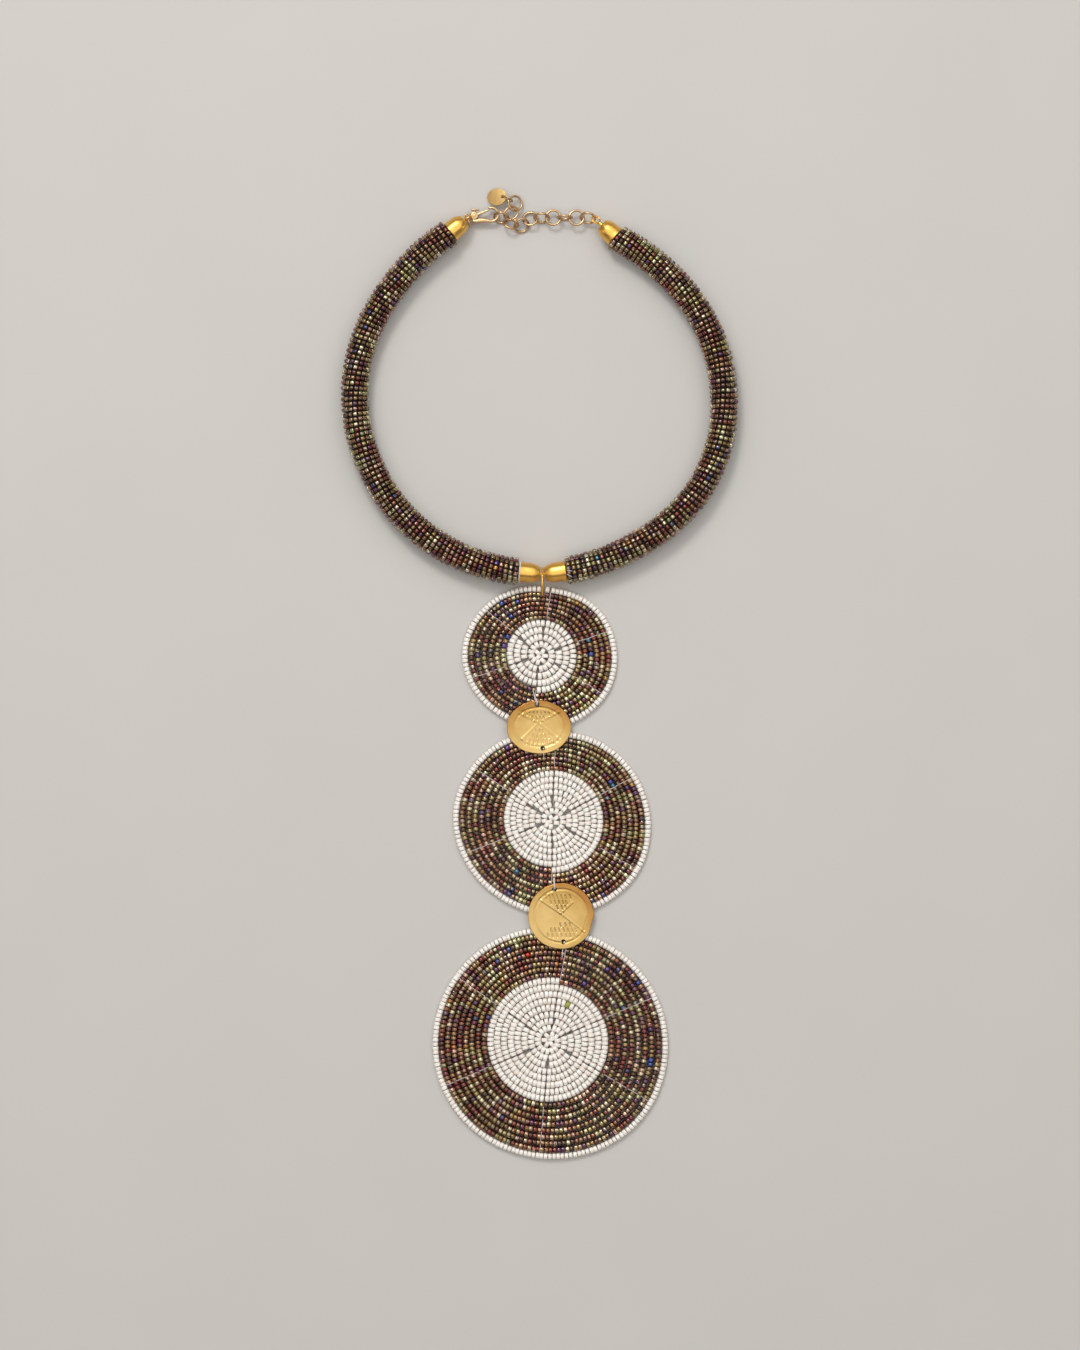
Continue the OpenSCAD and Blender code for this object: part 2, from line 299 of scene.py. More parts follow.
def rope_point(rope, share, radius, t):
    """A point on a rope at a share of its length; its rows turn to face the caps at both ends."""
    (course, start, _), (_, end, _) = (cap_ends[end] for end in ropes[rope])
    a, row = mix(start, end, share), rope_rows * share
    s, e = (max(0, 1 - rows / turning_rows) for rows in (row, rope_rows - row))
    d = (rope_at(course, a + 0.5) - rope_at(course, a - 0.5)).normalized()
    out, back = end_ways(rope)
    d = ((1 - s - e) * d + s * out + e * back).normalized()
    at = rope_at(course, a)
    c, up = radius * cos(t), radius * sin(t)
    return [at.x - d.y * c, at.y + d.x * c, rope_z + up]


def tube_faces(count, sides, closed):
    """Faces between rings of points, with flat ends unless the last ring joins the first."""
    faces = []
    for i in range(count if closed else count - 1):
        a, b = i * sides, (i + 1) % count * sides
        faces += [[a + j, a + (j + 1) % sides, b + (j + 1) % sides, b + j] for j in range(sides)]
    if not closed:
        faces.append(list(range(sides))[::-1])
        faces.append([(count - 1) * sides + j for j in range(sides)])
    return faces


def sweep(path, radius, sides, closed=False):
    """Points and faces of a round wire along a path, with flat ends unless it is closed."""
    path = [Vector(p) for p in path]
    count = len(path)
    radii = radius if isinstance(radius, list) else [radius] * count
    points, normal = [], None
    for i in range(count):
        a = path[i - 1] if closed or i else path[0]
        b = path[(i + 1) % count] if closed or i < count - 1 else path[i]
        t = (b - a).normalized()
        normal = t.orthogonal() if normal is None else normal
        normal = (normal - t * normal.dot(t)).normalized()
        side = t.cross(normal)
        for j in range(sides):
            q = 2 * pi * j / sides
            points.append(path[i] + radii[i] * (cos(q) * normal + sin(q) * side))
    return points, tube_faces(count, sides, closed)


def joined(*shapes):
    """Several sets of points and faces as one."""
    points, faces = [], []
    for shape_points, shape_faces in shapes:
        faces += [[i + len(points) for i in f] for f in shape_faces]
        points += list(shape_points)
    return points, faces


# The glass: each bead takes its main colour and a second one from the same mixed lot, and the
# two meet in soft patches on its surface. Columns: share of the lot, colour
iris_lot = [
    (0.17, (0.085, 0.042, 0.024)), (0.16, (0.240, 0.135, 0.060)), (0.18, (0.340, 0.260, 0.115)),
    (0.16, (0.190, 0.042, 0.034)), (0.13, (0.620, 0.530, 0.370)), (0.03, (0.330, 0.320, 0.180)),
    (0.07, (0.125, 0.045, 0.105)), (0.02, (0.360, 0.220, 0.180)), (0.01, (0.055, 0.065, 0.200)),
    (0.01, (0.420, 0.230, 0.060)),
]
# Colours put in one by one, each with the tone that stands for it
odd_colours = {
    "cream": (0.946, (0.70, 0.60, 0.46)), "green": (0.955, (0.30, 0.42, 0.04)),
    "red": (0.963, (0.50, 0.015, 0.02)), "cyan": (0.971, (0.05, 0.17, 0.26)),
    "blue": (0.979, (0.05, 0.08, 0.32)), "violet": (0.987, (0.13, 0.06, 0.27)),
    "gold": (0.995, (0.66, 0.36, 0.06)),
}
lot_stops, lot_end = [], 0.0
for share, colour in iris_lot:
    lot_stops.append((lot_end, colour))
    lot_end += share
lot_stops += [(tone - 0.005, colour) for tone, colour in odd_colours.values()]


def carried(graph, name):
    """A value that the mesh carries at each of its points."""
    return graph.add("ShaderNodeAttribute", {"attribute_name": name})["Fac"]


iris = new_finish("brown_iris_glass")
first_colour, second_colour = (
    iris.add(
        "ShaderNodeValToRGB", {"ramp": "CONSTANT", "stops": lot_stops},
        {"Fac": carried(iris, name)},
    )["Color"]
    for name in ("tone", "tint")
)
patches = iris.add(
    "ShaderNodeMapRange", {"interpolation_type": "SMOOTHSTEP"},
    {"Value": grain(iris, 1.1, 1.0), "From Min": 0.46, "From Max": 0.60, "To Max": 0.75},
)[0]
# Neighbours on the string come from one hank, so whole stretches are redder or more olive
hank = iris.add(
    "ShaderNodeValToRGB",
    {"stops": [(0.36, (1.0, 0.72, 0.76)), (0.5, (1.0, 1.0, 1.0)), (0.64, (1.04, 1.16, 1.04))]},
    {"Fac": grain(iris, 11.0, 2.0)},
)["Color"]
surface(
    iris,
    Base_Color=iris.add(
        "ShaderNodeMix", {"data_type": "RGBA", "blend_type": "MULTIPLY"},
        {0: 1.0, 6: blend(iris, patches, first_colour, second_colour), 7: hank},
    )[2],
    Metallic=0.92,
    Roughness=0.22 + 0.16 * grain(iris, 0.7, 1.0),
    Coat_Weight=0.6,
    Coat_Roughness=0.05,
    Coat_IOR=1.6,
)

cord = matt("dark_cotton_cord", 0.5, 3.0, (0.012, 0.008, 0.006), (0.05, 0.032, 0.022), 0.9, 0.1)
thread = matt("grey_white_thread", 0.25, 2.0, (0.42, 0.39, 0.40), (0.80, 0.77, 0.79), 0.55, 0.04)
dark_thread = matt("brown_thread", 0.3, 2.0, (0.03, 0.02, 0.015), (0.09, 0.06, 0.045), 0.7)
# The spoke threads inside the white centre: the same thread painted darker and browner, as painted
# shade where it lies sunk between the white beads
painted_shade_thread = matt("grey_thread_painted_shade", 0.4, 2.0, (0.06, 0.035, 0.028), (0.24, 0.18, 0.16), 0.8)

# One bead of 1 mm each way: a short tube cut from a cane and tumbled, so its ends are round and
# its wall is straight between them. Columns: radius, height
bead_profile = [
    (0.20, 0.0), (0.31, -0.5), (0.46, -0.43), (0.5, -0.29), (0.5, 0.29), (0.46, 0.43), (0.31, 0.5),
]
bead_shape = to_piece(
    "bead_shape",
    [[r * cos(pi * j / 4), r * sin(pi * j / 4), z] for r, z in bead_profile for j in range(8)],
    tube_faces(len(bead_profile), 8, True),
)

# The string of beads, as nodes: beads stand at even steps along the thread, each with its hole
# on the thread, slightly tilted and loose, and no two quite the same size. A bead that is nearest
# to an odd bead's place takes its colour.
bead_string = bpy.data.node_groups.new("string_of_beads", "GeometryNodeTree")
for label, kind in (
    ("Thread path", "Geometry"), ("Bead", "Object"), ("Bead spacing", "Float"),
    ("Bead diameter", "Float"), ("Bead length", "Float"), ("Thread diameter", "Float"),
    ("Looseness", "Float"), ("Tilt", "Float"), ("Size spread", "Float"), ("Seed", "Int"),
    ("Bead finish", "Material"), ("Thread finish", "Material"), ("Odd beads", "Object"),
):
    bead_string.interface.new_socket(name=label, in_out="INPUT", socket_type="NodeSocket" + kind)
bead_string.interface.new_socket(name="Beads", in_out="OUTPUT", socket_type="NodeSocketGeometry")
net = Graph(bead_string)
given = net.add("NodeGroupInput")
strung = net.add("GeometryNodeMeshToCurve", {}, {0: given["Thread path"]})["Curve"]
steps = net.add(
    "GeometryNodeCurveToPoints", {"mode": "LENGTH"}, {0: strung, 2: given["Bead spacing"]}
)


def drawn(kind, low, high, seed_step):
    """A random number or vector for each bead."""
    first, result = {"FLOAT": (2, 1), "FLOAT_VECTOR": (0, 0)}[kind]
    return net.add(
        "FunctionNodeRandomValue", {"data_type": kind},
        {first: low, first + 1: high, 8: given["Seed"] + float(seed_step)},
    )[result]


def vector(x, y, z):
    return net.add("ShaderNodeCombineXYZ", {}, {0: x, 1: y, 2: z})[0]


def geometry(kind, inputs):
    """The shape that comes out of a node."""
    return net.add("GeometryNode" + kind, {}, inputs)["Geometry"]


loose = given["Looseness"]
shift = drawn("FLOAT_VECTOR", vector(*[0 - loose] * 3), vector(*[loose] * 3), 1)
shaken = geometry("SetPosition", {"Geometry": steps["Points"], "Offset": shift})
here = net.add("GeometryNodeInputPosition")["Position"]
odd = geometry("ObjectInfo", {0: given["Odd beads"]})
nearest = net.add(
    "GeometryNodeSampleNearest", {}, {"Geometry": odd, "Sample Position": here}
)["Index"]
odd_place = net.add(
    "GeometryNodeSampleIndex", {"data_type": "FLOAT_VECTOR"},
    {"Geometry": odd, "Value": here, "Index": nearest},
)["Value"]
own_tone = net.add("GeometryNodeInputNamedAttribute", {}, {"Name": "tone"})["Attribute"]
odd_tone = net.add(
    "GeometryNodeSampleIndex", {"data_type": "FLOAT"},
    {"Geometry": odd, "Value": own_tone, "Index": nearest},
)["Value"]
far = net.add("ShaderNodeVectorMath", {"operation": "DISTANCE"}, {0: here, 1: odd_place})["Value"]
is_odd = net.add(
    "FunctionNodeCompare", {"data_type": "FLOAT", "operation": "LESS_THAN"},
    {"A": far, "B": 0.62 * given["Bead spacing"]},
)["Result"]
for label, seed_step in (("tone", 2), ("tint", 3)):
    value = net.add(
        "GeometryNodeSwitch", {"input_type": "FLOAT"},
        {"Switch": is_odd, "False": drawn("FLOAT", 0.0, lot_end, seed_step), "True": odd_tone},
    )["Output"]
    shaken = geometry("StoreNamedAttribute", {"Geometry": shaken, "Name": label, "Value": value})
wide, long = given["Bead diameter"] * (1 / MM), given["Bead length"] * (1 / MM)
bead = geometry("ObjectInfo", {0: given["Bead"]})
bead = geometry("Transform", {"Geometry": bead, "Scale": vector(wide, wide, long)})
facing = net.add(
    "FunctionNodeAlignRotationToVector", {"axis": "Z"}, {"Vector": steps["Tangent"]}
)["Rotation"]
tilt, any_turn = given["Tilt"], 6.28
lean = net.add(
    "FunctionNodeEulerToRotation", {},
    {"Euler": drawn(
        "FLOAT_VECTOR", vector(0 - tilt, 0 - tilt, 0.0), vector(tilt, tilt, any_turn), 4
    )},
)["Rotation"]
tilted = net.add(
    "FunctionNodeRotateRotation", {"rotation_space": "LOCAL"},
    {"Rotation": facing, "Rotate By": lean},
)["Rotation"]
spread = given["Size spread"]
girth = net.add("GeometryNodeInputNamedAttribute", {}, {"Name": "girth"})["Attribute"]
across = drawn("FLOAT", 1 - spread, 1 + spread * 0.3, 5) * girth
size = vector(across, across, drawn("FLOAT", 1 - spread, 1 + spread * 0.2, 6))
beads = net.add(
    "GeometryNodeInstanceOnPoints", {}, {0: shaken, 2: bead, 5: tilted, 6: size}
)["Instances"]
beads = geometry("SetShadeSmooth", {0: geometry("RealizeInstances", {0: beads})})
beads = geometry("SetMaterial", {"Geometry": beads, "Material": given["Bead finish"]})
section = net.add("GeometryNodeCurvePrimitiveCircle", {}, {0: 3, 4: 0.5 * given["Thread diameter"]})
strand = net.add(
    "GeometryNodeCurveToMesh", {},
    {"Curve": strung, "Profile Curve": section["Curve"], "Fill Caps": True},
)["Mesh"]
strand = geometry("SetMaterial", {"Geometry": strand, "Material": given["Thread finish"]})
both = net.add("GeometryNodeJoinGeometry")
net.tree.links.new(strand.socket, both.node.inputs[0])
net.tree.links.new(beads.socket, both.node.inputs[0])
net.add("NodeGroupOutput", {}, {"Beads": both["Geometry"]})

odd_beads = to_piece("odd_beads", [[0, 0, -500]], [])


def pick_odd(beads):
    """Puts beads of other colours into the strings made from here on: x, y, z, colour."""
    mesh = bpy.data.meshes.new("odd_beads")
    mesh.from_pydata([[c * MM for c in bead[:3]] for bead in beads], [], [])
    tones = mesh.attributes.new("tone", "FLOAT", "POINT")
    tones.data.foreach_set("value", [odd_colours[bead[3]][0] for bead in beads])
    odd_beads.data = mesh


size_spread, string_d = 0.05, 0.3
brown_beads = (iris, dark_thread, "iris_beads")


def applied(obj):
    """Keeps what an object's modifier makes as its plain mesh."""
    graph = bpy.context.evaluated_depsgraph_get()
    mesh = bpy.data.meshes.new_from_object(
        obj.evaluated_get(graph), preserve_all_data_layers=True, depsgraph=graph
    )
    obj.modifiers.clear()
    obj.data = mesh


def string_beads(node, paths, bead, seed, kind):
    """Strings beads on paths of x, y, z and girth, and keeps them as the plain mesh of one piece.
    Kind: the beads' finish, the thread's finish and a slot, which is not used."""
    finish, strand_finish, slot = kind
    points, edges = [], []
    for path in paths:
        edges += [(len(points) + i, len(points) + i + 1) for i in range(len(path) - 1)]
        points += path
    obj = to_piece(node + "_beads", [p[:3] for p in points], [], edges=edges)
    girth = obj.data.attributes.new("girth", "FLOAT", "POINT")
    girth.data.foreach_set("value", [p[3] for p in points])
    modifier = obj.modifiers.new("strung", "NODES")
    modifier.node_group = bead_string
    values = {
        "Bead": bead_shape, "Bead spacing": bead["spacing"] * MM,
        "Bead diameter": bead["diameter"] * MM, "Bead length": bead["length"] * MM,
        "Thread diameter": string_d * MM, "Looseness": bead["loose"] * MM, "Tilt": bead["tilt"],
        "Size spread": size_spread, "Seed": seed, "Bead finish": finish.material,
        "Thread finish": strand_finish.material, "Odd beads": odd_beads,
    }
    for item in bead_string.interface.items_tree:
        if item.in_out == "INPUT" and item.name in values:
            modifier[item.identifier] = values[item.name]
    applied(obj)
    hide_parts(node)
    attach(obj, "root")


pick_odd([
    (16.9, 39.9, 7.9, "cream"), (16.6, 38.5, 8.9, "cream"), (16.4, 37.1, 9.1, "cream"),
    (16.2, 35.8, 8.9, "cream"), (20.0, 39.3, 9.0, "cyan"), (-15.5, 36.6, 9.1, "gold"),
    (-15.2, 38.0, 8.9, "violet"),
])
per_turn, step_from = 24, 0.86
for seed, name in enumerate(ropes, 11):
    # Each turn stays in its row and steps over to the next one underneath
    winding = []
    for i in range(per_turn * rope_rows - 3):
        row, past = divmod(i / per_turn, 1)
        share = (row + 0.5 + max(0.0, past - step_from) / (1 - step_from)) / rope_rows
        winding.append(rope_point(name, share, winding_r, 2 * pi * (past - 0.25)) + [1.0])
    string_beads(name, [winding], rope_bead, seed, brown_beads)
    line = [Vector(rope_point(name, k / cord_steps, 0, 0)) for k in range(cord_steps + 1)]
    start, end = (way.to_3d() for way in end_ways(name))
    line = [line[0] - cord_in_cap * start, line[0] + 0.02 * start] + line[1:-1] + [
        line[-1] - 0.02 * end, line[-1] + cord_in_cap * end
    ]
    radii = [cord_end_r] * 2 + [cord_r] * (cord_steps - 1) + [cord_end_r] * 2
    core = to_piece(name + "_cord", *sweep(line, radii, 24), cord, sharp=50)
    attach(core, "root")

# ----------------------------------------
# End caps, core wire and pendant ring.
# Brass caps, spun from thin tube and plated in rich gold, polished, with a slight flare at the
# mouth. The back ones carry a soldered eye. A wire joins the front ones, and the ring hangs on it.

rich_gold = new_finish("rich_gold_plate")
scuffs = grain(rich_gold, 1.3, 4.0)
surface(
    rich_gold,
    Base_Color=blend(rich_gold, grain(rich_gold, 5.0), (0.84, 0.45, 0.085), (0.90, 0.56, 0.145)),
    Metallic=1.0,
    Roughness=0.24 + 0.16 * scuffs,
    Normal=bump(rich_gold, scuffs, 0.02),
)


def rounded(corners, steps):
    """A line through the corners, bent smoothly near each of them."""
    line = []
    for i in range(len(corners) - 1):
        p = [Vector(corners[max(0, min(len(corners) - 1, i + k))]) for k in (-1, 0, 1, 2)]
        for s in range(steps):
            t = s / steps
            line.append(0.5 * (
                2 * p[1] + (p[2] - p[0]) * t + (2 * p[0] - 5 * p[1] + 4 * p[2] - p[3]) * t ** 2
                + (3 * p[1] - p[0] - 3 * p[2] + p[3]) * t ** 3
            ))
    return line + [Vector(corners[-1])]


def lathe(profile, sides, closed):
    """Turns a profile of (x, radius) about the X axis; its ends are filled unless it is closed."""
    points = [
        [p[0], p[1] * cos(2 * pi * j / sides), p[1] * sin(2 * pi * j / sides)]
        for p in profile for j in range(sides)
    ]
    return points, tube_faces(len(profile), sides, closed)


def moved(shape, matrix):
    points, faces = shape
    return [matrix @ Vector(p) for p in points], faces


def at_place(place, roll=0.0, turn=0.0):
    """A rolled, then turned, then shifted place, as for a ring."""
    return (
        Matrix.Translation(place) @ Matrix.Rotation(radians(turn), 4, "Z")
        @ Matrix.Rotation(radians(roll), 4, "X")
    )


def wire_ring(outer, wire, sides=14, steps=56, cut_at=None):
    """A wire ring in the XY plane; a cut ring has its two ends almost together at cut_at."""
    r = (outer - wire) / 2

    def ring_points(angles):
        return [[r * cos(q), r * sin(q), 0] for q in angles]

    if cut_at is None:
        path = ring_points(2 * pi * i / steps for i in range(steps))
        return sweep(path, wire / 2, sides, closed=True)
    # Each cut end has a chamfer: a smaller section, then the full one a little further in
    cut, half = radians(cut_at), 0.03 / r
    inset = half + 0.06 / r
    angles = [cut + mix(half, 2 * pi - half, i / steps) for i in range(steps + 1)]
    angles = [angles[0], cut + inset] + angles[1:-1] + [cut - inset, angles[-1]]
    radii = [wire * 0.42] + [wire / 2] * (steps + 1) + [wire * 0.42]
    return sweep(ring_points(angles), radii, sides)


def mouth(end):
    """The place of a cap's mouth, just off the rope's last row, with the cap along its X axis."""
    course, angle, turn = cap_ends[end]
    at = rope_at(course, angle) + 0.12 * along(turn)
    return at_place((at.x, at.y, rope_z), 0, turn)


# Profiles of the caps, from the inside out. Columns: distance from the mouth, radius
cap_sides = 56
cap_inside = [(3.9, 2.8), (2.0, 2.85), (0.25, 2.9), (0.03, 3.1)]
front_profile = [(3.9, 1.0)] + cap_inside + rounded([
    (0.0, 3.42), (0.1, 3.66), (0.45, 3.66), (1.3, 3.5), (2.6, 3.42), (4.0, 3.36), (4.9, 3.26),
    (5.6, 3.07), (6.2, 2.84), (6.7, 2.62), (7.05, 2.46), (7.25, 2.28), (7.32, 2.0),
], 3) + [(7.32, 1.35), (7.2, 1.08), (6.9, 1.0)]
back_profile = [(3.9, 0.4)] + cap_inside + rounded([
    (0.0, 3.42), (0.1, 3.6), (0.45, 3.58), (1.2, 3.46), (2.4, 3.42), (3.4, 3.36), (4.2, 3.22),
    (4.9, 2.95), (5.4, 2.68), (5.8, 2.45), (6.1, 2.25), (6.3, 1.95),
], 3) + [(6.32, 1.2), (6.3, 0.5)]
# A back cap's eye and its place, then the solder's profile and how low it lies
eyes = {
    "back_left": (
        wire_ring(2.9, 0.6), at_place((7.75, 0, -0.25), 90),
        [(5.6, 0.75), (6.3, 0.72), (6.5, 0.5), (6.65, 0.4)], -0.25,
    ),
    "back_right": (
        wire_ring(3.7, 0.7), at_place((9.1, 0, -0.6), 40, 7),
        [(5.6, 0.85), (6.4, 0.82), (7.0, 0.62), (7.45, 0.5)], -0.5,
    ),
}
for end in cap_ends:
    if end in eyes:
        eye, eye_place, solder, low = eyes[end]
        shape = joined(
            lathe(back_profile, cap_sides, False), moved(eye, eye_place),
            moved(lathe(solder, 20, False), at_place((0, 0, low))),
        )
    else:
        shape = lathe(front_profile, cap_sides, True)
    name = "cap_" + end
    cap = to_piece(name + "_spun", *moved(shape, mouth(end)), rich_gold, sharp=50)
    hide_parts(name)
    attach(cap, "root")

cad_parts["core_wire"].data.materials.clear()
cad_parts["core_wire"].data.materials.append(rich_gold.material)

pendant_at = (1.14, 31.6, 5.0)
pendant = to_piece(
    "pendant_ring_wire",
    *moved(wire_ring(10.0, 0.85, 16, 80, cut_at=70), at_place(pendant_at, 90, 90)),
    rich_gold, sharp=50,
)
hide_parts("pendant_ring")
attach(pendant, "root")

# The string's end is wound twice round the left front cap's mouth and tucked in; on the right
# its loose tails come out of the mouth and run over the first row
wraps = []
for i in range(61):
    q = 2 * pi * (2 * i / 60 + 0.6)
    x, r = 0.06 + 0.5 * i / 60, 3.86 - 0.1 * max(0, i - 40) / 20
    wraps.append([x, r * cos(q), r * sin(q)])
tails = [
    [(9.6, 35.35, 8.45), (9.75, 35.34, 9.3), (10.05, 35.32, 9.98), (10.5, 35.3, 10.16),
     (10.95, 35.3, 9.98), (11.25, 35.28, 9.35), (11.35, 35.27, 8.9)],
    [(9.55, 34.2, 8.4), (9.7, 34.1, 9.15), (10.0, 33.95, 9.75), (10.4, 33.75, 9.9),
     (10.85, 33.5, 9.65), (11.2, 33.3, 9.0), (11.3, 33.2, 8.6)],
]
end_threads = to_piece(
    "rope_end_threads",
    *joined(
        moved(sweep(wraps, 0.14, 8), mouth("front_left")),
        *[sweep(rounded(tail, 4), 0.15, 8) for tail in tails],
    ),
    thread,
)
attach(end_threads, "root")

# ----------------------------------------
# Discs: three flat coils of beads.
# White pearl beads in the middle, brown iris beads outside and one row of white ones at the
# edge, all on one thread. Six threads run out from the centre and tie each row to the next.

bead_d = 2.15
# White beads reach out to white_r, and each row goes on to the next at colour_step. Angles run
# clockwise from +Y, and each angle of the edge has the disc's radius there
disc_rows = [
    {
        "at": (0.3, 6.6), "white_r": 12.2, "white_rows": 5, "band_rows": 6, "colour_step": 186,
        "spokes": [10, 71, 122, 186, 251, 310],
        "edge": [(12, 23.3), (50, 25.9), (112, 27.2), (150, 26.4), (180, 25.4), (212, 25.2),
                 (270, 27.2), (325, 25.0)],
    },
    {
        "at": (4.5, -50.4), "white_r": 17.2, "white_rows": 8, "band_rows": 7, "colour_step": 180,
        "spokes": [2.5, 62, 120, 180, 249, 304],
        "edge": [(2, 30.6), (25, 31.6), (62, 33.0), (120, 35.2), (150, 34.0), (212, 32.4),
                 (247, 33.5), (275, 34.5), (325, 32.7)],
    },
    {
        "at": (3.6, -126.6), "white_r": 21.0, "white_rows": 9, "band_rows": 8, "colour_step": 10,
        "spokes": [10, 67, 121, 185, 247, 305],
        "edge": [(25, 39.0), (75, 40.5), (130, 42.1), (185, 40.5), (247, 40.7), (300, 39.9),
                 (337, 39.7)],
    },
]
rim_bead = {"diameter": 2.18, "length": 1.40, "spacing": 1.42, "loose": 0.04, "tilt": 0.1}
disc_bead = {"diameter": 2.06, "length": 1.46, "spacing": 1.47, "loose": 0.035, "tilt": 0.08}
band_bead_least, band_bead_most = 1.5, 2.3
open_seam, closed_seam = 0.3, -0.1
few_beads, most_slack, play = 5, 0.1, 0.06
lift_span, lift_from, lift_height, ring_room = 40, 0.45, 1.5, 1.22


def edge_r(disc, a):
    """Radius of a disc at an angle."""
    table = disc["edge"]
    ring = [(b - 360, r) for b, r in table] + table + [(b + 360, r) for b, r in table]
    return soft(ring, a % 360)


def disc_lift(disc, a, r):
    """The top disc's upper edge rides up on the pendant ring."""
    off = abs((a + 180) % 360 - 180)
    if disc is not disc_rows[0] or off >= lift_span:
        return 0.0
    rise = max(0.0, r / edge_r(disc, a) - lift_from) / (1 - lift_from)
    return lift_height * rise * (0.5 + 0.5 * cos(radians(180 * off / lift_span)))


def disc_point(disc, a, r, z):
    (x, y), q = disc["at"], radians(a)
    return [x + r * sin(q), y + r * cos(q), z + disc_lift(disc, a, r)]


def band_pitch(disc, a):
    return (edge_r(disc, a) - bead_d - disc["white_r"]) / disc["band_rows"]


def row_r(disc, part, k, a):
    """Radius of a row at an angle: the coil grows by one row each time round."""
    turn = ((a - disc["colour_step"]) % 360) / 360
    if part == "centre":
        pitch = disc["white_r"] / disc["white_rows"]
        return pitch * max(0.45, k - 1 + turn)
    if part == "rim":
        return edge_r(disc, a) - bead_d / 2
    growth = 1 - (k - 1) / disc["band_rows"]
    return disc["white_r"] + band_pitch(disc, a) * (k - 0.5 + (turn - 0.5) * growth)


def row_girth(disc, part, a, bead):
    """Beads are picked to fit: smaller ones where the rows lie close together."""
    if part != "band":
        return 1.0
    fitting = min(band_bead_most, 1.05 * band_pitch(disc, a))
    return max(band_bead_least, fitting) / bead["diameter"]


def seam_open(k, spoke):
    """A spoke thread shows between the white beads in most rows and hides under them in others."""
    return k > 2 and (3 * k + 5 * spoke + k * spoke // 2) % 5 < 4


def row_paths(disc, part, k, bead):
    """The row's thread between one spoke and the next, leaving a seam at most spokes."""
    first, step = disc["colour_step"], bead["spacing"]
    stops = sorted((s - first) % 360 for s in disc["spokes"]) + [360]
    if part == "centre" and k <= 2:
        stops = [0, 360]
    at_ring = disc is disc_rows[0] and (part == "rim" or (part, k) == ("band", disc["band_rows"]))
    paths = []
    for spoke, (a0, a1) in enumerate(zip(stops, stops[1:])):
        middle = row_r(disc, part, k, first + (a0 + a1) / 2)
        gaps = []
        for s in (spoke, (spoke + 1) % (len(stops) - 1)):
            seam = open_seam if part == "centre" and seam_open(k, s) else closed_seam
            gaps.append(degrees((step + seam) / 2 / middle))
        b0, b1 = a0 + gaps[0], a1 - gaps[1]
        spans = [(b0, b1)]
        if at_ring:
            # The pendant ring takes some room at the top disc's edge
            ring = (degrees(asin((pendant_at[0] - disc["at"][0]) / middle)) - first) % 360
            clear = degrees(ring_room / middle)
            if b0 < ring < b1:
                spans = [(b0, ring - clear), (ring + clear, b1)]
        for c0, c1 in spans:
            length = radians(c1 - c0) * middle
            # On a short stretch the slack is shared by both ends
            fits = int(length / step)
            slack = length - fits * step
            if fits < few_beads and slack / (fits + 1) > most_slack:
                spare = degrees((slack - play * fits - 0.01) / middle) / 2
                c0, c1 = c0 + spare, c1 - spare
            count = max(2, int(abs(c1 - c0) * middle / 40) + 2)
            path = []
            for i in range(count):
                a = first + min(359.99, mix(c0, c1, i / (count - 1)))
                girth = row_girth(disc, part, a, bead)
                z = max(bead_d, bead["diameter"] * girth) / 2
                path.append(disc_point(disc, a, row_r(disc, part, k, a), z) + [girth])
            paths.append(path)
    return paths


pearl = new_finish("white_pearl_glass")
pearl_tone = carried(pearl, "tone")
# One olive bead has strayed among the white ones
stray = pearl.add(
    "ShaderNodeMapRange", {}, {"Value": pearl_tone, "From Min": 0.945, "From Max": 0.95}
)[0]
creamy = blend(
    pearl, pearl_tone * 0.7 + grain(pearl, 3.0) * 0.3, (0.82, 0.765, 0.715), (0.92, 0.895, 0.86)
)
surface(
    pearl,
    Base_Color=blend(pearl, stray, creamy, (0.34, 0.36, 0.05)),
    Roughness=0.22 + 0.12 * grain(pearl, 0.8),
    Coat_Weight=0.5,
    Coat_Roughness=0.08,
    Subsurface_Weight=0.6,
    Subsurface_Radius=(0.0012, 0.001, 0.0009),
)

pick_odd([(x, y, bead_d / 2, colour) for x, y, colour in (
    (10.1, -114.1, "green"), (-4.5, -96.6, "red"), (35.5, -125.2, "cyan"), (38.6, -133.9, "blue"),
    (16.1, -106.3, "violet"), (24.2, -101.4, "violet"), (34.1, -106.6, "blue"),
    (-10.4, -25.9, "violet"), (24.8, -36.9, "blue"), (26.0, -38.4, "cyan"),
    (-11.6, -41.4, "violet"), (-7.7, -68.8, "cyan"), (-12.8, 24.2, "blue"), (-7.0, 25.3, "blue"),
    (-9.8, 19.8, "blue"), (-11.0, 12.8, "blue"), (-12.8, 9.3, "violet"), (16.9, 11.4, "cyan"),
    (18.2, 7.1, "blue"),
)])

